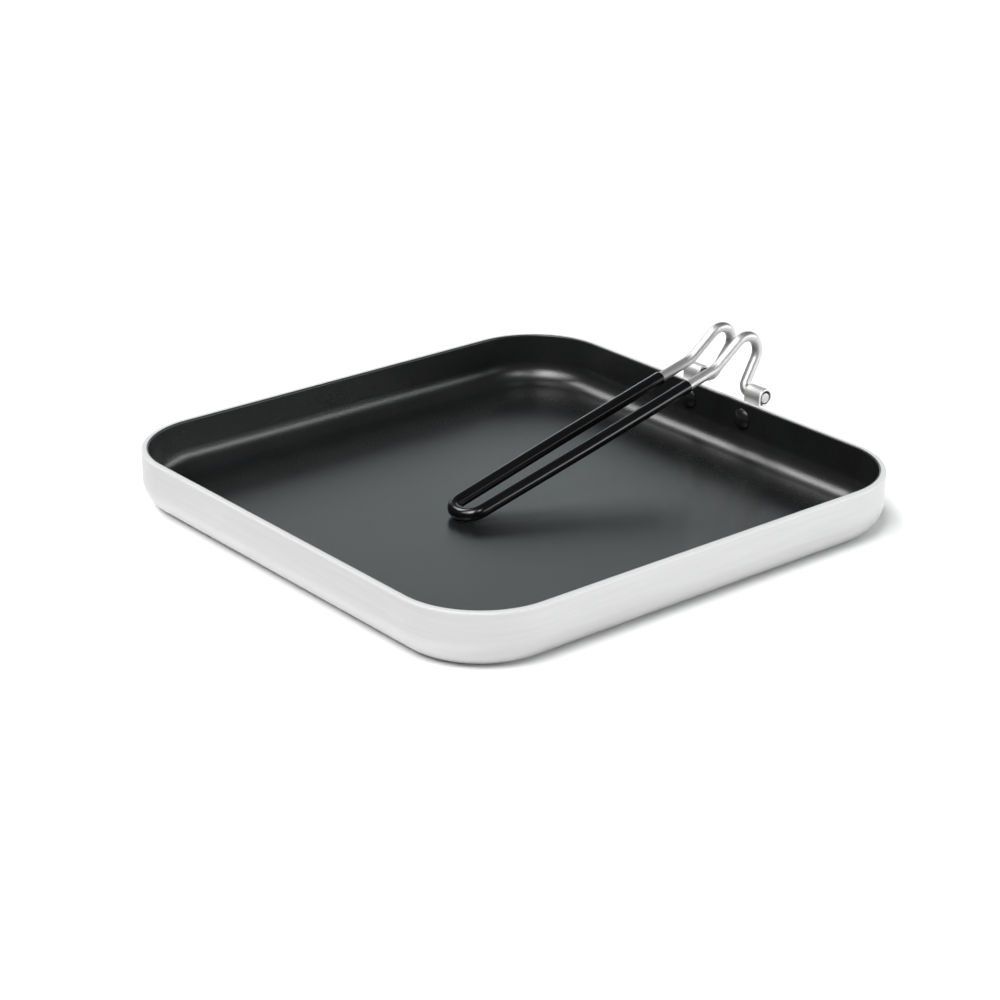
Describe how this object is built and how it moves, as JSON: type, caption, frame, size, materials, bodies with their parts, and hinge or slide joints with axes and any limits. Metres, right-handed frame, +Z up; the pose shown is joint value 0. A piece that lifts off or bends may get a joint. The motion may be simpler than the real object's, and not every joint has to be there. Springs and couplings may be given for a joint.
{
  "type": "square egg pan",
  "caption": "Shallow square egg pan with rounded corners, bare outside and non-stick inside, with a coated wire handle that folds over the rim into the pan.",
  "frame": {"origin": "centre of the pan's flat base, on the surface that it stands on", "axes": "+X along the handle wall, +Y towards the handle wall, +Z up out of the pan"},
  "size_m": [0.25, 0.2663, 0.0555],
  "materials": {
    "pan_aluminium": "satin, turned",
    "nonstick": "semi-matte non-stick film",
    "bracket_steel": "polished stainless sheet",
    "rivet_metal": "black film on the heads, bare tails",
    "wire_steel": "polished stainless wire",
    "grip_black": "glossy dipped coating"
  },
  "bodies": {
    "pan": {"pan_body": "pan_aluminium", "nonstick_layer": "nonstick", "hinge_bracket": "bracket_steel", "rivets": "rivet_metal"},
    "handle": {"handle_wire": "wire_steel", "grip_coating": "grip_black"}
  },
  "joints": [
    {"name": "handle_fold", "type": "hinge", "parent": "pan", "child": "handle", "pos_m": [0, 0.129, 0.0286], "axis": [-1, 0, 0], "range_deg": [0, 143]}
  ]
}
